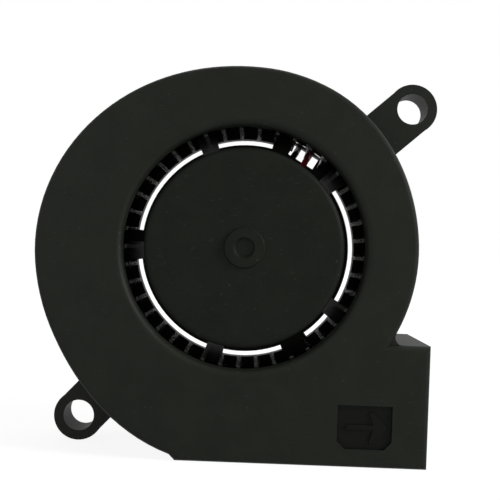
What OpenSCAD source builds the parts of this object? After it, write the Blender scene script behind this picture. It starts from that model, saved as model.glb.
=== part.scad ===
// Centrifugal DC blower: a snail-shell casing in two mouldings, an overhung forward-curved
// impeller on a brushless outer-rotor motor, and a two-core lead with its connector.
// It stands on the flat side wall of its outlet, inlet face towards -Y, outlet towards +X.
// Every module draws in plan: x and y in the face plane, z from the back face to the front,
// rotor axis at the plan origin. stand() then sets the plan upright.

/* [Impeller] */
// Radius over the blade tips
impeller_r = 20; // [18:0.5:22]
// Radius of the blades' inner edges
blade_inner_r = 15.4; // [15:0.1:16]
// Number of blades
blade_count = 41; // [25:1:45]
// Thickness of a blade
blade_t = 0.5; // [0.4:0.05:0.7]
// How far a blade tip leads its root, in degrees
blade_lead = 11; // [4:1:15]
// Angle of the first blade's inner edge
blade_start = 5.6; // [0:0.1:8]
// Height of a blade above its ring
blade_h = 9.2; // [8:0.1:9.4]
// Inner radius of the ring under the blades
ring_inner_r = 16.9; // [16.5:0.1:18]
// Thickness of the ring under the blades
ring_t = 1; // [0.7:0.1:1.2]
// Radial thickness of the band round the blade tops
band_t = 0.8; // [0.6:0.1:1.2]
// Outer radius of the hub
hub_r = 13; // [12.6:0.1:13.4]
// Thickness of the hub's side wall and face
hub_wall = 1; // [0.8:0.1:1.1]
// Rounding of the hub's front edge
hub_edge = 0.8; // [0.4:0.1:0.9]
// How far the hub's face lies behind the casing's front face
hub_sink = 0.6; // [0.3:0.1:1]
// Radius of the raised boss on the hub's face
hub_boss_r = 2.7; // [2:0.1:4]
// Number of spokes that carry the blade ring
spoke_count = 5; // [3:1:8]
// Width of a spoke, in degrees
spoke_arc = 9.6; // [6:0.2:14]
// Angle of the first spoke
spoke_start = 39.4; // [0:0.2:70]
// Thickness of a spoke
spoke_t = 1.2; // [0.8:0.1:1.6]

/* [Casing] */
// Thickness of the whole blower
body_t = 15; // [15:0.1:17]
// Wall thickness of the casing
wall = 1.2; // [0.9:0.1:1.5]
// Running gap between the impeller and the tongue
tongue_gap = 1.23; // [0.8:0.05:2]
// Growth of the scroll on the way to its top
rise_top = 0.85; // [0.5:0.05:1.5]
// Growth from the top round to the side away from the outlet
rise_side = 3.62; // [2.5:0.1:4.5]
// Growth from there down to the outlet floor
rise_floor = 1.3; // [0.8:0.1:1.5]
// Drop from the scroll's end to the flat outer wall of the outlet
floor_step = 0.75; // [0.3:0.05:1.2]
// Outer height of the outlet
outlet_h = 15.8; // [13:0.1:17]
// How far the outlet's mouth stands out past the scroll
outlet_lip = 1.97; // [1.5:0.1:4]
// Height of the seam between the two mouldings, from the back
seam_z = 6.2; // [5.5:0.1:8]
// Thickness of the back wall
floor_t = 1.5; // [1.2:0.1:1.6]
// Thickness of the front wall
front_t = 1.3; // [1:0.1:1.3]
// Rounding of the outer edges of the front
edge_r = 0.6; // [0.3:0.1:0.8]
// Radius of the inlet
inlet_r = 15.7; // [15.5:0.1:16.5]
// Rounding of the inlet's rim
inlet_edge = 0.9; // [0.4:0.1:1]
// Depth of the lip that locates the cover in the housing
lip_h = 0.8; // [0.5:0.1:1.2]
// Depth of the arrow panel near the outlet
panel_depth = 0.35; // [0.2:0.05:0.6]

/* [Ears] */
// Hole of the upper ear, across from the rotor axis
upper_ear_x = 22.4; // [21.5:0.1:23.5]
// Hole of the upper ear, up from the rotor axis
upper_ear_y = 20; // [19:0.1:21]
// Hole of the lower ear, across from the rotor axis
lower_ear_x = -22; // [-23:0.1:-21.5]
// Hole of the lower ear, up from the rotor axis
lower_ear_y = -23.9; // [-24:0.1:-23]
// Diameter of the screw holes
ear_hole_d = 4.2; // [3:0.1:4.6]
// Width of the rim round a screw hole
ear_rim = 1.3; // [1:0.1:1.6]
// Thickness of the housing's ears
ear_t = 3.1; // [2:0.1:4]
// Thickness of the cover's ears
ear_cap_t = 1.25; // [1:0.05:2]

/* [Motor base] */
// Inner radius of the arc slots round the motor base
slot_r = 15.05; // [14.8:0.05:15.3]
// Width of the arc slots
slot_w = 0.8; // [0.6:0.05:1.2]
// Angle of the rib with the wire notch
rib_angle = 59.6; // [50:0.2:70]
// Width of a plain rib, in degrees
rib_arc = 14.8; // [10:0.2:20]
// Width of the rib with the wire notch, in degrees
notch_rib_arc = 34.6; // [30:0.2:40]
// Width of the wire notch
notch_w = 4.2; // [4:0.1:5]
// Radial length of the wire notch
notch_l = 1.7; // [1.5:0.1:1.9]

/* [Motor] */
// Diameter of the shaft
shaft_d = 2; // [1.8:0.1:2.2]
// Radial running clearance of the shaft in its bearing
shaft_play = 0.02; // [0.01:0.01:0.04]
// Outer diameter of the sleeve bearing
bearing_d = 5; // [4.6:0.1:5.2]
// Length of the sleeve bearing
bearing_l = 7; // [6:0.1:7.2]
// Wall of the tube that holds the bearing
tube_wall = 0.9; // [0.7:0.1:1.1]
// Thickness of the lamination stack
stack_h = 4; // [3:0.1:4.4]
// Radial air gap between the stack and the magnet
air_gap = 0.45; // [0.3:0.05:0.6]
// Radial thickness of the magnet
magnet_t = 1.4; // [1.1:0.1:1.6]
// Height of the magnet
magnet_h = 7; // [5:0.1:7.4]
// Thickness of the steel yoke
yoke_t = 0.5; // [0.4:0.05:0.6]
// Number of stator poles
pole_count = 4; // [4:2:6]
// Width of a pole's neck
pole_w = 2.4; // [2:0.1:2.6]
// Radial depth of a pole's shoe
shoe_t = 1.1; // [0.8:0.1:1.3]
// Thickness of the winding on a pole
winding_t = 0.9; // [0.5:0.1:1]
// Thickness of the circuit board
board_t = 0.8; // [0.6:0.1:1]

/* [Hidden] */
$fn = 96;
eps = 0.01;
skin = 0.5; // overshoot of a cutting body

// Clearances
seat_gap = 0.05; // between pieces that are glued or pushed together
lip_gap = 0.1; // round the cover's lip

// Scroll outline
scroll_r = impeller_r + tongue_gap + wall;
tongue_angle = -45; // the scroll starts here, inside the outlet
scroll_end_angle = 252;
outline_step = 3;
end_r = scroll_radius(scroll_end_angle);
foot_y = end_r * sin(scroll_end_angle) - floor_step;
foot_x = end_r * cos(scroll_end_angle);
mouth_x = scroll_r + outlet_lip;
roof_y = foot_y + outlet_h;
corner_r = 1;

function smooth(t) = let (c = max(0, min(1, t))) c * c * (3 - 2 * c);

// Outer radius of the scroll at an angle: three level stretches with smooth rises between them
function scroll_radius(a) = scroll_r + rise_top * smooth((a - 5) / 60)
    + rise_side * smooth((a - 86) / 100) + rise_floor * smooth((a - 205) / 50);

// Points of the scroll, moved inwards by inset
function scroll_points(inset) = [for (a = [tongue_angle : outline_step : scroll_end_angle + eps])
    (scroll_radius(a) - inset) * [cos(a), sin(a)]];

// Where the scroll ends and the outlet's outer wall begins, moved inwards by inset
function scroll_end(inset) = (end_r - inset) * [cos(scroll_end_angle), sin(scroll_end_angle)];

// Placing: the box round the casing and its ears has its bottom centre at the origin
ear_r = ear_hole_d / 2 + ear_rim;
arm_inset = 0.05; // an ear's arm is this much narrower at each side than its round end
left_x = min(concat([lower_ear_x - ear_r], [for (p = scroll_points(0)) p.x]));
right_x = max(mouth_x, upper_ear_x + ear_r);
middle_x = (left_x + right_x) / 2;

// Heights, from the back face
cavity_top = body_t - front_t;
ring_z = floor_t + 1.1;
blade_top = ring_z + ring_t + blade_h;
spoke_z = ring_z + 0.5;
hub_top = body_t - hub_sink;
hub_rim_z = spoke_z;
boss_top = hub_top + 0.35;
ear_z = seam_z - ear_t;
board_z = floor_t + 0.4;
board_top = board_z + board_t;
bearing_z = floor_t + 1.1;
stack_z = bearing_z + 1.8;
stack_top = stack_z + stack_h;
end_t = 0.5; // thickness of an insulator's end plate
pad_t = 0.4;

// Radii, from the axis outwards
shaft_r = shaft_d / 2;
bearing_r = bearing_d / 2;
tube_r = bearing_r + seat_gap + tube_wall;
yoke_r = hub_r - hub_wall - seat_gap;
magnet_r = yoke_r - yoke_t - seat_gap;
stack_r = magnet_r - magnet_t - air_gap;
shoe_in_r = stack_r - shoe_t;
shoe_arc = 300 / pole_count;
pin_at_r = shoe_in_r + 0.3;
pin_angle = 20;
core_r = tube_r + seat_gap + 1.3;
board_r = 11.2;
pad_seat_r = shaft_r + 1;
bush_r = shaft_r + 1.1;
hub_socket_r = bush_r + seat_gap;
socket_wall = 0.9;
tube_top = bearing_z + bearing_l + 0.6;

// Arrow panel on the front, near the outlet
panel = [7, 5.6];
panel_at = [mouth_x - 8.2, foot_y + 5.2];

// Lead: diameter, pitch in the connector, and its two routes in the stood-up frame
lead_d = 0.9;
lead_sides = 8;
black_run = [[5.2, 5.4, 37.9], [5.9, 5.4, 39.1], [6.6, 5.4, 40.3], [7, 5.6, 41],
    [7.3, 6.1, 41.5], [7.5, 6.9, 41.8], [7.6, 7.7, 42.1], [7.9, 8.2, 42.6], [8.3, 8.4, 43.3],
    [10.4, 8.4, 45.3], [13.1, 8.4, 46], [15.8, 8.4, 45.3], [17.8, 8.4, 43.3], [18.5, 8.4, 40.6],
    [18.5, 8.4, 34], [18.5, 8.4, 27], [18.5, 8.4, 20], [18.5, 8.4, 13], [18.5, 8.4, 8.5],
    [18.5, 8.5, 6], [18.5, 8.9, 4.5], [18.5, 9.9, 3.3], [18.5, 11.4, 2.9], [18.5, 15, 2.9]];
black_tail = [[12.5, 21, 0.7], [11, 21, 0.6], [9, 21.3, 0.6], [7, 21.8, 1.2], [5.4, 22.1, 2.1],
    [3.6, 22.1, 2.8]];
red_run = [[6.8, 5.4, 36.9], [7.5, 5.4, 38.1], [8.2, 5.4, 39.3], [8.6, 5.6, 40],
    [8.9, 6.1, 40.6], [9.1, 6.9, 40.9], [9.3, 7.7, 41.2], [9.6, 8.2, 41.7], [10, 8.4, 42.4],
    [11.5, 8.4, 43.9], [13.5, 8.4, 44.4], [15.5, 8.4, 43.9], [17, 8.4, 42.4], [17.5, 8.4, 40.4],
    [17.5, 8.4, 34], [17.5, 8.4, 27], [17.5, 8.4, 20], [17.5, 8.4, 13], [17.5, 8.4, 8.5],
    [17.5, 8.5, 6], [17.5, 8.9, 4.5], [17.5, 9.9, 3.3], [17.5, 11.4, 2.9], [17.5, 15, 2.9]];
red_tail = [[12.5, 20, 0.7], [11, 20, 0.6], [9, 19.9, 0.6], [7, 19.7, 1.2], [5.4, 19.6, 2.1],
    [3.6, 19.6, 2.8]];
coil_at = [12.5, 15, 0.2];
coil_r = 5.5; // middle of the winding
coil_h = 3.15;
turn_pitch = 1;
tie_t = 0.2;
plug_pitch = 2.5;
plug_size = [9, 7.4, 5.7];
plug_at = [4, 20.85, 0];
plug_hole_d = 1.2;

// Stands the plan upright on its outlet wall
module stand() {
    translate([-middle_x, body_t / 2, -foot_y])
        rotate([90, 0, 0])
            children();
}

// A ring of rectangular section
module ring(outer, inner, height) {
    rotate_extrude()
        translate([inner, 0])
            square([outer - inner, height]);
}

// A sector of a ring in plan, centred on an angle
module sector(inner, outer, arc, at) {
    polygon([for (i = [0 : 6]) outer * [cos(at + arc * (i / 6 - 0.5)), sin(at + arc * (i / 6 - 0.5))],
        for (i = [6 : -1 : 0]) inner * [cos(at + arc * (i / 6 - 0.5)), sin(at + arc * (i / 6 - 0.5))]]);
}

// Outline of the snail shell, moved inwards by inset
module scroll_plan(inset) {
    polygon(concat([[0, 0]], scroll_points(inset)));
}

// Outer walls of the outlet, as a block that starts under the rotor
module outlet_plan(inset) {
    polygon([scroll_end(inset), [foot_x + floor_step + inset, foot_y + inset],
        [mouth_x - inset, foot_y + inset], [mouth_x - inset, roof_y - inset], [0, roof_y - inset]]);
}

// Scroll and outlet together; reach is where the outlet ends
module shell_plan(inset, reach) {
    scroll_plan(inset);
    polygon([[0, 0], scroll_end(inset), [foot_x + floor_step + inset, foot_y + inset],
        [reach, foot_y + inset], [reach, roof_y - inset], [inset - roof_y, roof_y - inset]]);
}

// Fills the inside corner between the scroll and the outlet with a small radius
module corner_plan() {
    reach = sqrt(pow(scroll_r + corner_r, 2) - pow(roof_y + corner_r, 2));
    at = [reach, roof_y + corner_r];
    difference() {
        polygon([[0, roof_y - eps], [reach, roof_y - eps], at, at * scroll_r / (scroll_r + corner_r) * 0.99]);
        translate(at) circle(corner_r);
    }
}

// One half of the casing as a solid block with its outer edge rounded at the top
module rounded_block(height, round_r) {
    linear_extrude(height - round_r) {
        shell_plan(0, mouth_x);
        corner_plan();
    }
    for (part = [0, 1])
        hull()
            for (a = [0 : 30 : 90])
                translate([0, 0, height - round_r - eps + round_r * sin(a)])
                    linear_extrude(eps)
                        if (part == 0) scroll_plan(round_r * (1 - cos(a)));
                        else outlet_plan(round_r * (1 - cos(a)));
}

// One ear in plan: an arm from the casing to the rim of its screw hole
module ear_plan(at) {
    reach = norm(at);
    translate(at) circle(ear_r);
    rotate(atan2(at.y, at.x))
        translate([scroll_r - wall, arm_inset - ear_r])
            square([reach - scroll_r + wall, 2 * (ear_r - arm_inset)]);
}

module ears(thick) {
    difference() {
        linear_extrude(thick) {
            ear_plan([upper_ear_x, upper_ear_y]);
            ear_plan([lower_ear_x, lower_ear_y]);
        }
        translate([0, 0, -skin])
            linear_extrude(thick + 2 * skin)
                shell_plan(wall / 2, mouth_x + skin);
        for (at = [[upper_ear_x, upper_ear_y], [lower_ear_x, lower_ear_y]])
            translate([at.x, at.y, -skin])
                cylinder(d = ear_hole_d, h = thick + 2 * skin);
    }
}

module housing() {
    color("#252722")
        stand()
            difference() {
                union() {
                    difference() {
                        translate([0, 0, seam_z])
                            mirror([0, 0, 1])
                                rounded_block(seam_z, 0.4);
                        translate([0, 0, floor_t])
                            linear_extrude(seam_z)
                                shell_plan(wall, mouth_x + skin);
                        translate([0, 0, seam_z - lip_h - lip_gap])
                            linear_extrude(seam_z)
                                shell_plan(wall / 2 - lip_gap / 2, mouth_x + skin);
                    }
                    translate([0, 0, ear_z]) ears(ear_t);
                    translate([0, 0, floor_t - eps]) ring(board_r - 0.4, board_r - 1.4, board_z - floor_t + eps);
                    translate([0, 0, floor_t - eps]) ring(tube_r, bearing_r + seat_gap, tube_top - floor_t);
                    translate([0, 0, floor_t - eps]) ring(tube_r, pad_seat_r, bearing_z - floor_t);
                }
                base_slots();
                wire_way();
            }
}

// Arc slots that leave the motor base on three ribs
module base_slots() {
    first = rib_angle + notch_rib_arc / 2;
    second = rib_angle + 120;
    third = rib_angle + 240;
    spans = [[first, second - rib_arc / 2], [second + rib_arc / 2, third - rib_arc / 2],
        [third + rib_arc / 2, rib_angle + 360 - notch_rib_arc / 2]];
    for (s = spans)
        rotate(s[0])
            translate([0, 0, -skin])
                rotate_extrude(angle = s[1] - s[0])
                    translate([slot_r, 0])
                        square([slot_w, floor_t + 2 * skin]);
}

// Notch for the lead, and the channel from the board to it
module wire_way() {
    rotate(rib_angle) {
        translate([slot_r, -notch_w / 2, -skin])
            cube([notch_l, notch_w, floor_t + 2 * skin]);
        translate([board_r, -notch_w / 2, floor_t - 0.5])
            cube([slot_r - board_r + eps, notch_w, 1]);
    }
}

module cover() {
    color("#252722")
        stand() {
            difference() {
                union() {
                    difference() {
                        translate([0, 0, seam_z]) rounded_block(body_t - seam_z, edge_r);
                        translate([0, 0, seam_z - skin])
                            linear_extrude(cavity_top - seam_z + skin)
                                shell_plan(wall, mouth_x + skin);
                    }
                    translate([0, 0, cavity_top - 0.5])
                        ring(inlet_r + 0.8, inlet_r - eps, 0.5 + eps);
                    translate([0, 0, seam_z]) ears(ear_cap_t);
                    translate([0, 0, seam_z - lip_h])
                        linear_extrude(lip_h + eps)
                            difference() {
                                shell_plan(wall / 2 + lip_gap / 2, mouth_x - wall / 2);
                                shell_plan(wall, mouth_x + skin);
                            }
                }
                inlet_cut();
                translate([panel_at.x - panel.x / 2, panel_at.y - panel.y / 2, body_t - panel_depth])
                    linear_extrude(1)
                        panel_plan();
            }
            translate([panel_at.x, panel_at.y, body_t - panel_depth - eps])
                linear_extrude(panel_depth * 0.6)
                    arrow_plan();
        }
}

// Inlet with a rounded rim, as one revolved cutter
module inlet_cut() {
    rotate_extrude()
        polygon(concat([[0, cavity_top - 1], [inlet_r, cavity_top - 1]],
            [for (a = [0 : 15 : 90])
                [inlet_r + inlet_edge * (1 - cos(a)), body_t - inlet_edge + inlet_edge * sin(a)]],
            [[inlet_r + inlet_edge, body_t + skin], [0, body_t + skin]]));
}

// Shallow panel with two cut corners
module panel_plan() {
    cut = 1;
    polygon([[cut, 0], [panel.x - cut, 0], [panel.x, cut], [panel.x, panel.y], [0, panel.y], [0, cut]]);
}

// Airflow arrow, pointing at the outlet
module arrow_plan() {
    translate([-2.3, -0.3]) square([3.6, 0.6]);
    polygon([[0.6, -1.9], [1.2, -1.9], [2.9, 0], [1.2, 1.9], [0.6, 1.9], [1.2, 0]]);
}

// A forward-curved blade: each station is turned further the further out it lies
module blade_plan() {
    steps = 6;
    stations = [for (i = [0 : steps]) i / steps];
    function station(s, side) = let (r = blade_inner_r + (impeller_r - band_t / 2 - blade_inner_r) * s,
        a = blade_lead * pow(s, 1.7)) r * [cos(a), sin(a)] + side * blade_t / 2 * [-sin(a), cos(a)];
    polygon(concat([for (s = stations) station(s, -1)],
        [for (i = [steps : -1 : 0]) station(stations[i], 1)]));
}

module impeller() {
    color("#2b2d28")
        stand()
            union() {
                hub();
                for (k = [0 : spoke_count - 1])
                    translate([0, 0, spoke_z])
                        linear_extrude(spoke_t)
                            sector(hub_r - hub_wall / 2, ring_inner_r + 0.4, spoke_arc,
                                spoke_start + k * 360 / spoke_count);
                translate([0, 0, ring_z]) ring(impeller_r, ring_inner_r, ring_t);
                translate([0, 0, ring_z + ring_t / 2])
                    linear_extrude(blade_h + ring_t / 2)
                        for (k = [0 : blade_count - 1])
                            rotate(blade_start + k * 360 / blade_count)
                                blade_plan();
                translate([0, 0, blade_top - 1]) ring(impeller_r, impeller_r - band_t, 1);
            }
}

// Hub cup with its inner socket for the shaft's bush, revolved as one profile
module hub() {
    inner_r = hub_r - hub_wall;
    face_z = hub_top - hub_wall;
    socket_z = tube_top + 0.5;
    rotate_extrude()
        polygon(concat(
            [[0, face_z + 0.3], [hub_socket_r, face_z + 0.3], [hub_socket_r, socket_z],
                [hub_socket_r + socket_wall, socket_z], [hub_socket_r + socket_wall, face_z],
                [inner_r, face_z], [inner_r, hub_rim_z], [hub_r, hub_rim_z]],
            [for (a = [0 : 15 : 90])
                [hub_r - hub_edge * (1 - cos(a)), hub_top - hub_edge + hub_edge * sin(a)]],
            [[hub_boss_r, hub_top], [hub_boss_r - 0.2, boss_top], [1.4, boss_top], [1.1, boss_top - 0.4],
                [0, boss_top - 0.4]]));
}

// Steel cup that closes the magnet's field
module rotor_yoke() {
    face_z = hub_top - hub_wall - seat_gap;
    bottom = hub_rim_z + 0.2;
    color("#8d9297")
        stand() {
            translate([0, 0, bottom]) ring(yoke_r, yoke_r - yoke_t, face_z - bottom);
            translate([0, 0, face_z - yoke_t])
                ring(yoke_r, hub_socket_r + socket_wall + seat_gap, yoke_t);
        }
}

module rotor_magnet() {
    color("#3a3633")
        stand()
            translate([0, 0, hub_rim_z + 0.4])
                ring(magnet_r, magnet_r - magnet_t, magnet_h);
}

module shaft() {
    bottom = floor_t + pad_t + 0.05;
    top = hub_top - hub_wall + 0.2;
    groove_z = bearing_z - 0.6;
    color("#c9ccd0")
        stand()
            difference() {
                translate([0, 0, bottom]) cylinder(r = shaft_r, h = top - bottom);
                translate([0, 0, groove_z]) ring(shaft_r + skin, shaft_r - 0.2, 0.3);
            }
}

module shaft_bush() {
    bottom = tube_top + 0.5;
    color("#b08d4a")
        stand()
            translate([0, 0, bottom])
                ring(bush_r, shaft_r + shaft_play, hub_top - hub_wall + 0.25 - bottom);
}

// Split washer in the shaft's groove, under the bearing
module retaining_ring() {
    color("#e8e6dc")
        stand()
            translate([0, 0, bearing_z - 0.55])
                ring(shaft_r + 0.7, shaft_r - 0.15, 0.2);
}

module sleeve_bearing() {
    color("#a9793f")
        stand()
            translate([0, 0, bearing_z])
                ring(bearing_r, shaft_r + shaft_play, bearing_l);
}

module thrust_pad() {
    color("#efeee8")
        stand()
            translate([0, 0, floor_t])
                cylinder(r = pad_seat_r - seat_gap, h = pad_t);
}

// Cap washer that keeps the bearing's oil in
module oil_ring() {
    color("#dedbd0")
        stand()
            translate([0, 0, bearing_z + bearing_l + seat_gap])
                ring(bearing_r, shaft_r + 0.15, 0.4);
}

// One lamination in plan: a collar, straight necks and curved shoes
module pole_plan(collar_r, neck_w, shoe_inner, shoe_outer, shoe_arc) {
    difference() {
        union() {
            circle(collar_r);
            for (k = [0 : pole_count - 1])
                rotate(k * 360 / pole_count) {
                    translate([0, -neck_w / 2]) square([shoe_inner + 0.3, neck_w]);
                    sector(shoe_inner, shoe_outer, shoe_arc, 0);
                }
        }
        circle(tube_r + seat_gap);
    }
}

module stator_core() {
    color("#7f868c")
        stand()
            translate([0, 0, stack_z])
                linear_extrude(stack_h)
                    pole_plan(core_r, pole_w, shoe_in_r, stack_r, shoe_arc);
}

// End plate of the bobbin, which keeps the wire off the stack
module insulator(at) {
    translate([0, 0, at])
        linear_extrude(end_t)
            pole_plan(core_r + 0.2, pole_w + 0.6, shoe_in_r - 0.3, stack_r - 0.3, shoe_arc - 4);
}

module front_insulator() {
    color("#d9d6c8")
        stand()
            insulator(stack_top);
}

module back_insulator() {
    color("#d9d6c8")
        stand()
            insulator(stack_z - end_t);
}

// One winding round each pole's neck
module stator_windings() {
    inner_w = pole_w + 0.7;
    inner_h = stack_h + 2 * end_t + 0.1;
    from_r = core_r + 0.3;
    far_corner = sqrt(pow(shoe_in_r - 0.3, 2) - pow(inner_w / 2 + winding_t, 2));
    length = far_corner - 0.1 - from_r;
    color("#b5652e")
        stand()
            for (k = [0 : pole_count - 1])
                rotate(k * 360 / pole_count)
                    translate([from_r, 0, stack_z + stack_h / 2])
                        rotate([90, 0, 90])
                            linear_extrude(length)
                                difference() {
                                    square([inner_w + 2 * winding_t, inner_h + 2 * winding_t], center = true);
                                    square([inner_w, inner_h], center = true);
                                }
}

// Posts on which the winding ends are soldered, from the back insulator through the board
module winding_pins() {
    color("#c7c9cc")
        stand()
            for (k = [0 : pole_count - 2])
                rotate(pin_angle + k * 360 / pole_count)
                    translate([pin_at_r, 0, board_z - 0.2])
                        cylinder(r = 0.3, h = stack_z - end_t - board_z + 0.2);
}

module driver_board() {
    color("#2f5d3a")
        stand()
            difference() {
                translate([0, 0, board_z]) ring(board_r, tube_r + 0.2, board_t);
                for (k = [0 : pole_count - 2])
                    rotate(pin_angle + k * 360 / pole_count)
                        translate([pin_at_r, 0, board_z - skin])
                            cylinder(r = 0.4, h = board_t + 2 * skin);
            }
}

module hall_sensor() {
    color("#1f1f1f")
        stand()
            rotate(45)
                translate([7.4, -0.8, board_top])
                    cube([1.6, 1.6, 0.8]);
}

module driver_chip() {
    color("#1f1f1f")
        stand()
            rotate(135)
                translate([4.6, -1, board_top])
                    cube([2.6, 2, 0.5]);
}

module board_capacitors() {
    color("#b59a6c")
        stand()
            for (a = [215, 235, 315])
                rotate(a)
                    translate([5.2, -0.4, board_top])
                        cube([1.6, 0.8, 0.5]);
}

// Sweep of a round tube along a route: the ring's first direction is carried along
function unit(v) = v / norm(v);
function heading(p, i) = unit(p[min(i + 1, len(p) - 1)] - p[max(i - 1, 0)]);
function square_to(v, t) = unit(v - (v * t) * t);
function first_side(t) = square_to(abs(t.x) < 0.8 ? [1, 0, 0] : [0, 1, 0], t);
function sides(p, i = 0, last = undef) = i == len(p) ? [] :
    let (side = i == 0 ? first_side(heading(p, 0)) : square_to(last, heading(p, i)))
    concat([side], sides(p, i + 1, side));

module tube(route, d) {
    n = lead_sides;
    along = sides(route);
    points = [for (i = [0 : len(route) - 1], k = [0 : n - 1])
        let (t = heading(route, i), u = along[i], v = cross(t, u), a = 360 * k / n)
            route[i] + d / 2 * (cos(a) * u + sin(a) * v)];
    skins = [for (i = [0 : len(route) - 2], k = [0 : n - 1])
        let (m = (k + 1) % n) [i * n + k, (i + 1) * n + k, (i + 1) * n + m, i * n + m]];
    first = [for (k = [0 : n - 1]) k];
    final = [for (k = [n - 1 : -1 : 0]) (len(route) - 1) * n + k];
    polyhedron(points, concat([first], skins, [final]), convexity = 8);
}

module black_lead() {
    color("#1b1b1b") {
        tube(black_run, lead_d);
        tube(black_tail, lead_d);
    }
}

module red_lead() {
    color("#b3202c") {
        tube(red_run, lead_d);
        tube(red_tail, lead_d);
    }
}

module black_lead_coil() {
    color("#1b1b1b")
        translate(coil_at)
            ring(coil_r + turn_pitch / 2 + lead_d / 2, coil_r + turn_pitch / 2 - lead_d / 2, coil_h);
}

module red_lead_coil() {
    color("#b3202c")
        translate(coil_at)
            ring(coil_r - turn_pitch / 2 + lead_d / 2, coil_r - turn_pitch / 2 - lead_d / 2, coil_h);
}

// Band round the coiled lead
module lead_tie() {
    half = turn_pitch / 2 + lead_d / 2 + 0.05;
    color("#e9e9e6")
        translate([coil_at.x - coil_r, coil_at.y, 0])
            rotate([90, 0, 0])
                translate([0, 0, -0.75])
                    linear_extrude(1.5)
                        difference() {
                            translate([-half - tie_t, 0])
                                square([2 * (half + tie_t), coil_at.z + coil_h + 0.05 + tie_t]);
                            translate([-half, tie_t])
                                square([2 * half, coil_at.z + coil_h + 0.05 - tie_t]);
                        }
}

// Two-way socket housing on the end of the lead
module lead_connector() {
    color("#ece9df")
        translate([plug_at.x - plug_size.x, plug_at.y - plug_size.y / 2, plug_at.z])
            difference() {
                cube(plug_size);
                for (side = [-1, 1])
                    translate([-skin, plug_size.y / 2 + side * plug_pitch / 2, plug_size.z / 2])
                        rotate([0, 90, 0])
                            cylinder(d = plug_hole_d, h = plug_size.x + 2 * skin);
            }
}

// Crimped contacts inside the socket housing
module connector_contacts() {
    color("#c9a24b")
        for (side = [-1, 1])
            translate([plug_at.x - plug_size.x + 1, plug_at.y + side * plug_pitch / 2, plug_size.z / 2])
                rotate([0, 90, 0])
                    cylinder(d = plug_hole_d - 2 * seat_gap, h = plug_size.x - 1.45);
}

housing();
cover();
impeller();
rotor_yoke();
rotor_magnet();
shaft();
shaft_bush();
retaining_ring();
sleeve_bearing();
thrust_pad();
oil_ring();
stator_core();
front_insulator();
back_insulator();
stator_windings();
winding_pins();
driver_board();
hall_sensor();
driver_chip();
board_capacitors();
black_lead();
red_lead();
black_lead_coil();
red_lead_coil();
lead_tie();
lead_connector();
connector_contacts();
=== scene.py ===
# %% [markdown]
# # A small DC blower, dressed for its portrait
# The blower is a snail-shell casing in two black mouldings, with a bladed wheel that turns round
# its own motor. Every solid is modelled already, so this lesson places the camera, lays the
# lead, and gives each piece the finish that the real one has.

# %% Loading the solids
import math

import bpy
from mathutils import Matrix, Vector


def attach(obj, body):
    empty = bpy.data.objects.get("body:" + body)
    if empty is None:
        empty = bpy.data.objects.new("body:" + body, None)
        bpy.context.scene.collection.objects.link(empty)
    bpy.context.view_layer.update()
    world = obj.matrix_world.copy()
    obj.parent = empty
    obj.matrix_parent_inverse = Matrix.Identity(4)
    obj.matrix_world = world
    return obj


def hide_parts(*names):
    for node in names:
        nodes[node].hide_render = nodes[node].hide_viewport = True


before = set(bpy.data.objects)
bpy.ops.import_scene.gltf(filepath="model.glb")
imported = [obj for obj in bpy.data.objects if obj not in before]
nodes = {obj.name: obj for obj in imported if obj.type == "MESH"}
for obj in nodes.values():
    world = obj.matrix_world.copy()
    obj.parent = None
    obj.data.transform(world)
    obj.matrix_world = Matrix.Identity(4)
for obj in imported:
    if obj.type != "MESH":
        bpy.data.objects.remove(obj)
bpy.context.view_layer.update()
MM = 0.001

# %% [markdown]
# ## The camera
# A near camera shows depth: the casing's far edges shrink, and the inlet lets the eye in past
# the hub. It looks straight at the inlet face and is rolled a little, as the blower sits a
# little askew in the picture. Near clipping has to come down to millimetres on so small a scene.

# %% Camera straight in front of the inlet
LENS, ROLL = 51.98, math.radians(2.2)
EYE = Vector((1.27, -99.5, 27.3)) * MM

view = bpy.data.cameras.new("portrait")
view.lens, view.sensor_width = LENS, 36
view.clip_start, view.clip_end = 0.005, 20
camera = bpy.data.objects.new("portrait", view)
right = Vector((math.cos(ROLL), 0, math.sin(ROLL)))
up = Vector((-math.sin(ROLL), 0, math.cos(ROLL)))
turn = Matrix((right, up, right.cross(up))).transposed().to_4x4()
camera.matrix_world = Matrix.Translation(EYE) @ turn
bpy.context.scene.collection.objects.link(camera)
bpy.context.scene.camera = camera
print("camera", round(abs(EYE.y) / MM), "mm from the rotor's axis plane")

# %% [markdown]
# ## The lead
# Two thin insulated wires leave the circuit board, drop through a notch in the motor base, run
# down the back and are put away in a small tied coil behind the blower, ending in a two-way
# connector. Each is one smooth curve of fixed length. A Catmull-Rom curve is used because it
# passes through every point that is given, so a wire can be led through the notch along listed
# points. The wire's thickness is the radius of its points, which Blender also counts in a curve's
# box.

# %% Smooth curve through points
WIRE = 0.9 * MM


def smooth_path(points, steps=4):
    pts = [Vector(p) * MM for p in points]
    pts = [2 * pts[0] - pts[1]] + pts + [2 * pts[-1] - pts[-2]]
    path = []
    for a, b, c, d in zip(pts, pts[1:], pts[2:], pts[3:]):
        for k in range(steps):
            t = k / steps
            path.append(0.5 * (2 * b + (c - a) * t + (2 * a - 5 * b + 4 * c - d) * t * t
                               + (3 * b - a - 3 * c + d) * t ** 3))
    return path + [pts[-2]]


def helix(centre, radius, turns, high, low, per_turn=24):
    count = round(turns * per_turn)
    return [(centre[0] + radius * math.cos(2 * math.pi * turns * i / count),
             centre[1] + radius * math.sin(2 * math.pi * turns * i / count),
             high + (low - high) * i / count) for i in range(count + 1)]


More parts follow.
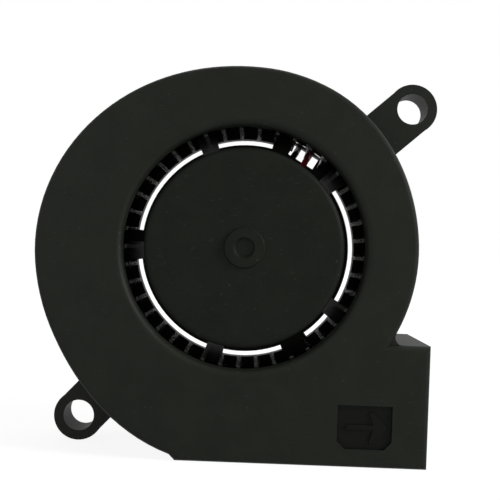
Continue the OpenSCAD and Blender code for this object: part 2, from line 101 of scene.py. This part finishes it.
# %% Routes of the two wires
COIL = (12.5, 15)
BLACK_RUN = [(5.2, 5.4, 37.9), (5.9, 5.4, 39.1), (6.6, 5.4, 40.3), (7, 5.6, 41), (7.3, 6.1, 41.5),
             (7.5, 6.9, 41.8), (7.6, 7.7, 42.1), (7.9, 8.2, 42.6), (8.3, 8.4, 43.3),
             (10.4, 8.4, 45.3), (13.1, 8.4, 46), (15.8, 8.4, 45.3), (17.8, 8.4, 43.3),
             (18.5, 8.4, 40.6), (18.5, 8.4, 34), (18.5, 8.4, 27), (18.5, 8.4, 20),
             (18.5, 8.4, 13), (18.5, 8.4, 8.5), (18.5, 8.5, 6), (18.5, 8.9, 4.5),
             (18.5, 9.9, 3.3), (18.5, 11.4, 2.9)]
BLACK_TAIL = [(11, 21, 0.6), (9, 21.3, 0.6), (7, 21.8, 1.2), (5.4, 22.1, 2.1), (3.6, 22.1, 2.8)]
RED_RUN = [(6.8, 5.4, 36.9), (7.5, 5.4, 38.1), (8.2, 5.4, 39.3), (8.6, 5.6, 40), (8.9, 6.1, 40.6),
           (9.1, 6.9, 40.9), (9.3, 7.7, 41.2), (9.6, 8.2, 41.7), (10, 8.4, 42.4),
           (11.5, 8.4, 43.9), (13.5, 8.4, 44.4), (15.5, 8.4, 43.9), (17, 8.4, 42.4),
           (17.5, 8.4, 40.4), (17.5, 8.4, 34), (17.5, 8.4, 27), (17.5, 8.4, 20),
           (17.5, 8.4, 13), (17.5, 8.4, 8.5), (17.5, 8.5, 6), (17.5, 8.9, 4.5),
           (17.5, 9.9, 3.3), (17.5, 11.4, 2.9)]
RED_TAIL = [(11, 20, 0.6), (9, 19.9, 0.6), (7, 19.7, 1.2), (5.4, 19.6, 2.1), (3.6, 19.6, 2.8)]


def wire(name, points):
    path = smooth_path(points)
    data = bpy.data.curves.new(name, "CURVE")
    data.dimensions = "3D"
    data.bevel_depth, data.bevel_resolution = 1, 4
    data.use_fill_caps = True
    line = data.splines.new("POLY")
    line.points.add(len(path) - 1)
    for point, at in zip(line.points, path):
        point.co = (*at, 1)
        point.radius = WIRE / 2
    line.use_smooth = True
    piece = bpy.data.objects.new(name, data)
    bpy.context.scene.collection.objects.link(piece)
    length = sum((b - a).length for a, b in zip(path, path[1:]))
    print(name, round(length / MM, 1), "mm long,", len(path), "points")
    return piece


black_wire = wire("black_wire", BLACK_RUN + helix(COIL, 6, 2.25, 2.9, 0.7) + BLACK_TAIL)
red_wire = wire("red_wire", RED_RUN + helix(COIL, 5, 2.25, 2.9, 0.65) + RED_TAIL)

# %% The wires hung on the casing, in place of the modelled leads
for piece, exit_point, stand_ins in (
        (black_wire, (7.6, 7.7, 42.1), ("black_lead", "black_lead_coil")),
        (red_wire, (9.3, 7.7, 41.2), ("red_lead", "red_lead_coil"))):
    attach(piece, "casing")
    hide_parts(*stand_ins)

# %% [markdown]
# ## Finishes
# Moulded plastic is never one flat colour: the mould is spark-eroded, so the skin has a fine
# grain that scatters light, and the melt leaves faint clouds of shade. Both come from noise on
# the object's own coordinates, one layer in the colour and one in the bump.

# %% Shader helpers
def shader(name):
    material = bpy.data.materials.new(name)
    material.use_nodes = True
    tree = material.node_tree
    return material, tree, tree.nodes["Principled BSDF"]


def noise(tree, size_mm, detail=3, roughness=0.5, squeeze=(1, 1, 1)):
    where = tree.nodes.new("ShaderNodeTexCoord")
    place = tree.nodes.new("ShaderNodeMapping")
    place.inputs["Scale"].default_value = squeeze
    cloud = tree.nodes.new("ShaderNodeTexNoise")
    cloud.inputs["Scale"].default_value = 1 / (size_mm * MM)
    cloud.inputs["Detail"].default_value = detail
    cloud.inputs["Roughness"].default_value = roughness
    tree.links.new(where.outputs["Object"], place.inputs["Vector"])
    tree.links.new(place.outputs["Vector"], cloud.inputs["Vector"])
    return cloud.outputs["Fac"]


def between(tree, factor, low, high, start=0.3, stop=0.7):
    ramp = tree.nodes.new("ShaderNodeMapRange")
    ramp.inputs["From Min"].default_value = start
    ramp.inputs["From Max"].default_value = stop
    ramp.inputs["To Min"].default_value = low
    ramp.inputs["To Max"].default_value = high
    tree.links.new(factor, ramp.inputs["Value"])
    return ramp.outputs["Result"]


def tint(tree, factor, dark, light):
    mix = tree.nodes.new("ShaderNodeMix")
    mix.data_type = "RGBA"
    mix.inputs["A"].default_value = (*dark, 1)
    mix.inputs["B"].default_value = (*light, 1)
    tree.links.new(factor, mix.inputs["Factor"])
    return mix.outputs["Result"]


def bump(tree, height, depth_mm, shiny):
    relief = tree.nodes.new("ShaderNodeBump")
    relief.inputs["Strength"].default_value = 1
    relief.inputs["Distance"].default_value = depth_mm * MM
    tree.links.new(height, relief.inputs["Height"])
    tree.links.new(relief.outputs["Normal"], shiny.inputs["Normal"])


# %% Moulded plastic in any colour
def moulded(name, dark, light, rough, grain_mm=0.18, cloud_mm=4, relief=0.012, gloss=0.3):
    material, tree, skin = shader(name)
    clouds = between(tree, noise(tree, cloud_mm, 5, 0.6), 0, 1)
    tree.links.new(tint(tree, clouds, dark, light), skin.inputs["Base Color"])
    grain = noise(tree, grain_mm, 2)
    tree.links.new(between(tree, grain, rough - 0.06, rough + 0.06), skin.inputs["Roughness"])
    skin.inputs["Specular IOR Level"].default_value = gloss
    bump(tree, grain, relief, skin)
    return material


def finish(material, *names):
    for name in names:
        for place in nodes[name].material_slots:
            place.material = material
    print(material.name, "on", ", ".join(names))


# %% [markdown]
# ## The casing
# Handling leaves faint scratches and specks of dust on dark plastic. They are peaks of a
# stretched and of a fine noise, mixed in as a slightly paler shade. The recessed panel with
# the airflow arrow has painted shade: its colour is darker than the grained skin round it, and
# its gloss lower. A box in the object's own coordinates picks it out, as it lies behind the front
# face.

# %% Casing in black plastic
WORN_SHADE = (0.026, 0.028, 0.024)
# Painted shade: the darker colour given to the recessed arrow panel.
PAINTED_PANEL_SHADE = (0.0052, 0.0058, 0.0048)


def scratches(material):
    tree = material.node_tree
    skin = tree.nodes["Principled BSDF"]
    marks = between(tree, noise(tree, 1.1, 2, 0.5, (1, 1, 9)), 0, 1, 0.70, 0.74)
    specks = between(tree, noise(tree, 0.5, 1), 0, 1, 0.74, 0.78)
    both = tree.nodes.new("ShaderNodeMath")
    both.operation = "MAXIMUM"
    tree.links.new(marks, both.inputs[0])
    tree.links.new(specks, both.inputs[1])
    colour = skin.inputs["Base Color"].links[0].from_socket
    worn = tree.nodes.new("ShaderNodeMix")
    worn.data_type = "RGBA"
    tree.links.new(both.outputs[0], worn.inputs["Factor"])
    tree.links.new(colour, worn.inputs["A"])
    worn.inputs["B"].default_value = (*WORN_SHADE, 1)
    tree.links.new(worn.outputs["Result"], skin.inputs["Base Color"])
    return material


def within(tree, low_mm, high_mm):
    where = tree.nodes.new("ShaderNodeTexCoord")
    split = tree.nodes.new("ShaderNodeSeparateXYZ")
    tree.links.new(where.outputs["Object"], split.inputs[0])
    inside = None
    for axis, low, high in zip("XYZ", low_mm, high_mm):
        for test, edge in (("GREATER_THAN", low), ("LESS_THAN", high)):
            side = tree.nodes.new("ShaderNodeMath")
            side.operation = test
            side.inputs[1].default_value = edge * MM
            tree.links.new(split.outputs[axis], side.inputs[0])
            if inside is None:
                inside = side.outputs[0]
                continue
            both = tree.nodes.new("ShaderNodeMath")
            both.operation = "MULTIPLY"
            tree.links.new(inside, both.inputs[0])
            tree.links.new(side.outputs[0], both.inputs[1])
            inside = both.outputs[0]
    return inside


def shade_painted_panel(material, low_mm, high_mm):
    tree = material.node_tree
    skin = tree.nodes["Principled BSDF"]
    here = within(tree, low_mm, high_mm)
    colour = skin.inputs["Base Color"].links[0].from_socket
    # Painted shade: inside the recessed arrow panel the colour is mixed to a darker shade, and
    # the gloss is lowered.
    deep = tree.nodes.new("ShaderNodeMix")
    deep.data_type = "RGBA"
    tree.links.new(here, deep.inputs["Factor"])
    tree.links.new(colour, deep.inputs["A"])
    deep.inputs["B"].default_value = (*PAINTED_PANEL_SHADE, 1)
    tree.links.new(deep.outputs["Result"], skin.inputs["Base Color"])
    tree.links.new(between(tree, here, CASING_GLOSS, PANEL_GLOSS, 0, 1),
                   skin.inputs["Specular IOR Level"])
    return material


CASING_GLOSS, PANEL_GLOSS = 0.11, 0.06
casing = scratches(moulded("casing_plastic", (0.0072, 0.0084, 0.0058), (0.0104, 0.0119, 0.0086),
                           0.52, gloss=CASING_GLOSS))
PANEL_LOW, PANEL_HIGH = (13, -7.4, 2.2), (20.5, -6.8, 8.2)
finish(shade_painted_panel(casing, PANEL_LOW, PANEL_HIGH), "housing", "cover")

# %% [markdown]
# ## The wheel
# The wheel is one moulding with two skins: the hub's face is spark-eroded and dull, while the
# blades come from polished steel and shine along their edges. One material serves both, and a
# circle round the rotor's axis tells it which skin to show.

# %% Wheel with a dull hub and polished blades
AXIS = (0.531, 27.557)
HUB_EDGE = 13.05
HUB_ROUGH, BLADE_ROUGH = 0.55, 0.22
HUB_GLOSS, BLADE_GLOSS = 0.07, 0.45


def by_radius(tree, inside, outside, radius_mm, soft_mm=0.1):
    where = tree.nodes.new("ShaderNodeTexCoord")
    flat = tree.nodes.new("ShaderNodeMapping")
    flat.inputs["Location"].default_value = (-AXIS[0] * MM, 0, -AXIS[1] * MM)
    flat.inputs["Scale"].default_value = (1, 0, 1)
    reach = tree.nodes.new("ShaderNodeVectorMath")
    reach.operation = "LENGTH"
    tree.links.new(where.outputs["Object"], flat.inputs["Vector"])
    tree.links.new(flat.outputs["Vector"], reach.inputs[0])
    return between(tree, reach.outputs["Value"], inside, outside,
                   (radius_mm - soft_mm) * MM, (radius_mm + soft_mm) * MM)


def wheel_plastic():
    material = scratches(moulded("impeller_plastic", (0.0068, 0.0079, 0.0058),
                                 (0.0096, 0.0110, 0.0082), 0.5, grain_mm=0.12))
    tree = material.node_tree
    skin = tree.nodes["Principled BSDF"]
    tree.links.new(by_radius(tree, HUB_ROUGH, BLADE_ROUGH, HUB_EDGE), skin.inputs["Roughness"])
    tree.links.new(by_radius(tree, HUB_GLOSS, BLADE_GLOSS, HUB_EDGE),
                   skin.inputs["Specular IOR Level"])
    return material


finish(wheel_plastic(), "impeller")

# %% [markdown]
# ## Metals
# Drawn and turned metal has marks along the tool's path. Stretching the noise along one
# direction gives brushed lines, and stretching it round the stack's height gives laminations.

# %% Metals of the motor
def metal(name, colour, rough, squeeze=(1, 1, 1), mark_mm=0.3, relief=0.01):
    material, tree, skin = shader(name)
    marks = noise(tree, mark_mm, 4, 0.7, squeeze)
    shade = [c * 0.82 for c in colour]
    tree.links.new(tint(tree, between(tree, marks, 0, 1), shade, colour),
                   skin.inputs["Base Color"])
    tree.links.new(between(tree, marks, rough - 0.08, rough + 0.08), skin.inputs["Roughness"])
    skin.inputs["Metallic"].default_value = 1
    bump(tree, marks, relief, skin)
    return material


finish(metal("yoke_steel", (0.55, 0.56, 0.58), 0.35, (1, 0.1, 1)), "rotor_yoke")
finish(metal("lamination_steel", (0.42, 0.43, 0.45), 0.45, (0.02, 1.5, 0.02)), "stator_core")
finish(metal("shaft_steel", (0.78, 0.79, 0.80), 0.16, (1, 6, 1), 0.2, 0.003), "shaft")
finish(metal("bush_brass", (0.72, 0.55, 0.26), 0.3, (1, 6, 1)), "shaft_bush")
finish(metal("bearing_bronze", (0.60, 0.40, 0.20), 0.5, mark_mm=0.12, relief=0.03),
       "sleeve_bearing")
finish(metal("pin_tin", (0.70, 0.70, 0.70), 0.3), "winding_pins")
finish(metal("contact_tin", (0.72, 0.62, 0.36), 0.28, (0.2, 1, 1)), "connector_contacts")

# %% Plastics, ferrite and the board
finish(moulded("ferrite", (0.045, 0.042, 0.038), (0.07, 0.065, 0.06), 0.75, 0.1, 2, 0.02),
       "rotor_magnet")
finish(moulded("ring_plastic", (0.76, 0.74, 0.66), (0.84, 0.82, 0.74), 0.4, gloss=0.5),
       "retaining_ring", "oil_ring")
finish(moulded("pad_plastic", (0.84, 0.83, 0.78), (0.9, 0.89, 0.84), 0.35, gloss=0.5),
       "thrust_pad")
finish(moulded("insulator_plastic", (0.72, 0.70, 0.62), (0.8, 0.78, 0.7), 0.45, gloss=0.5),
       "front_insulator", "back_insulator")
finish(moulded("board_lacquer", (0.012, 0.09, 0.04), (0.025, 0.13, 0.06), 0.22, 0.4, 1.5, 0.01,
               0.5), "driver_board")
finish(moulded("chip_resin", (0.014, 0.014, 0.015), (0.022, 0.022, 0.023), 0.55, 0.05, 0.5),
       "hall_sensor", "driver_chip")
finish(moulded("capacitor_body", (0.42, 0.30, 0.16), (0.52, 0.38, 0.22), 0.4, 0.06, 0.4),
       "board_capacitors")
finish(moulded("tie_plastic", (0.74, 0.74, 0.72), (0.82, 0.82, 0.80), 0.35, gloss=0.5),
       "lead_tie")
finish(moulded("connector_plastic", (0.76, 0.75, 0.68), (0.84, 0.83, 0.77), 0.32, 0.15, 2,
               0.008, 0.5), "lead_connector")

# %% [markdown]
# ## Enamelled copper
# The windings are turns of lacquered wire laid side by side. A wave across the layers, a wire's
# width apart, stands for them in colour and bump.

# %% Copper of the windings
def wound_copper():
    material, tree, skin = shader("enamelled_copper")
    where = tree.nodes.new("ShaderNodeTexCoord")
    turns = tree.nodes.new("ShaderNodeTexWave")
    turns.bands_direction = "DIAGONAL"
    turns.inputs["Scale"].default_value = 1 / (0.5 * MM)
    tree.links.new(where.outputs["Object"], turns.inputs["Vector"])
    layers = turns.outputs["Fac"]
    tree.links.new(tint(tree, layers, (0.30, 0.10, 0.03), (0.62, 0.26, 0.09)),
                   skin.inputs["Base Color"])
    skin.inputs["Metallic"].default_value = 0.7
    skin.inputs["Roughness"].default_value = 0.28
    bump(tree, layers, 0.05, skin)
    return material


finish(wound_copper(), "stator_windings")

# %% Wire insulation
def insulation(name, dark, light):
    return moulded(name, dark, light, 0.5, grain_mm=0.3, cloud_mm=3, relief=0.006, gloss=0.35)


black_wire.data.materials.append(insulation("black_insulation", (0.011, 0.011, 0.011),
                                            (0.018, 0.018, 0.018)))
red_wire.data.materials.append(insulation("red_insulation", (0.30, 0.008, 0.014),
                                          (0.42, 0.014, 0.022)))

# %% [markdown]
# ## Floor, white surroundings and light
# A studio sweep is white to the eye yet must not glare on the part. So the floor and the world
# are white only to rays from the camera, in gloss and through glass, while other rays meet a
# plain pale surface. The floor adds a little true shading on top, which keeps the shadow, and
# its own glow rises to full white away from the part, so that no horizon shows.

# %% Rays that see white
def seen(tree):
    path = tree.nodes.new("ShaderNodeLightPath")
    both = None
    for ray in ("Is Camera Ray", "Is Glossy Ray", "Is Transmission Ray"):
        if both is None:
            both = path.outputs[ray]
            continue
        larger = tree.nodes.new("ShaderNodeMath")
        larger.operation = "MAXIMUM"
        tree.links.new(both, larger.inputs[0])
        tree.links.new(path.outputs[ray], larger.inputs[1])
        both = larger.outputs[0]
    return both


# %% World
AMBIENT = 0.22
WHITE = (1, 1, 1, 1)
world = bpy.data.worlds.new("studio")
world.use_nodes = True
bpy.context.scene.world = world
air = world.node_tree
air.nodes.clear()
shown = air.nodes.new("ShaderNodeBackground")
shown.inputs["Strength"].default_value = 1
soft = air.nodes.new("ShaderNodeBackground")
soft.inputs["Color"].default_value = WHITE
shown.inputs["Color"].default_value = WHITE
soft.inputs["Strength"].default_value = AMBIENT
either = air.nodes.new("ShaderNodeMixShader")
sky = air.nodes.new("ShaderNodeOutputWorld")
air.links.new(seen(air), either.inputs[0])
air.links.new(soft.outputs[0], either.inputs[1])
air.links.new(shown.outputs[0], either.inputs[2])
air.links.new(either.outputs[0], sky.inputs[0])

# %% Floor
FLOOR_SIZE = 6
GLOW_NEAR, GLOW_FAR = 0.9, 1.0
NEAR, FAR = 0.05, 0.25
bpy.ops.mesh.primitive_plane_add(size=FLOOR_SIZE, location=(0, 0, 0))
floor = bpy.context.active_object
floor.name = "floor"
paper, tree, pale = shader("pale_floor")
pale.inputs["Base Color"].default_value = (0.8, 0.8, 0.8, 1)
pale.inputs["Roughness"].default_value = 0.9
shade = tree.nodes.new("ShaderNodeBsdfDiffuse")
shade.inputs["Color"].default_value = (0.16, 0.16, 0.16, 1)
glow = tree.nodes.new("ShaderNodeEmission")
spot = tree.nodes.new("ShaderNodeTexCoord")
away = tree.nodes.new("ShaderNodeVectorMath")
away.operation = "LENGTH"
tree.links.new(spot.outputs["Object"], away.inputs[0])
tree.links.new(between(tree, away.outputs["Value"], GLOW_NEAR, GLOW_FAR, NEAR, FAR),
               glow.inputs["Strength"])
whole = tree.nodes.new("ShaderNodeAddShader")
tree.links.new(shade.outputs[0], whole.inputs[0])
tree.links.new(glow.outputs[0], whole.inputs[1])
either = tree.nodes.new("ShaderNodeMixShader")
tree.links.new(seen(tree), either.inputs[0])
tree.links.new(pale.outputs[0], either.inputs[1])
tree.links.new(whole.outputs[0], either.inputs[2])
tree.links.new(either.outputs[0], tree.nodes["Material Output"].inputs[0])
floor.data.materials.append(paper)

# %% Soft lamps
MIDDLE = Vector((0, 0, 0.027))


def lamp(name, at, size, watts):
    data = bpy.data.lights.new(name, "AREA")
    data.shape, data.size, data.energy = "DISK", size, watts
    piece = bpy.data.objects.new(name, data)
    piece.location = at
    piece.rotation_euler = (MIDDLE - Vector(at)).to_track_quat("-Z", "Y").to_euler()
    bpy.context.scene.collection.objects.link(piece)
    print(name, watts, "W at", round(Vector(at).length, 2), "m")


lamp("key", (0.24, -0.075, 0.14), 0.09, 0.75)
lamp("fill", (-0.25, -0.35, 0.12), 0.35, 0.4)
lamp("top", (0.0, 0.05, 0.45), 0.30, 0.6)

# %% [markdown]
# ## Colour output
# The view transform stays plain, so colours come out as they were written.

bpy.context.scene.view_settings.view_transform = "Standard"
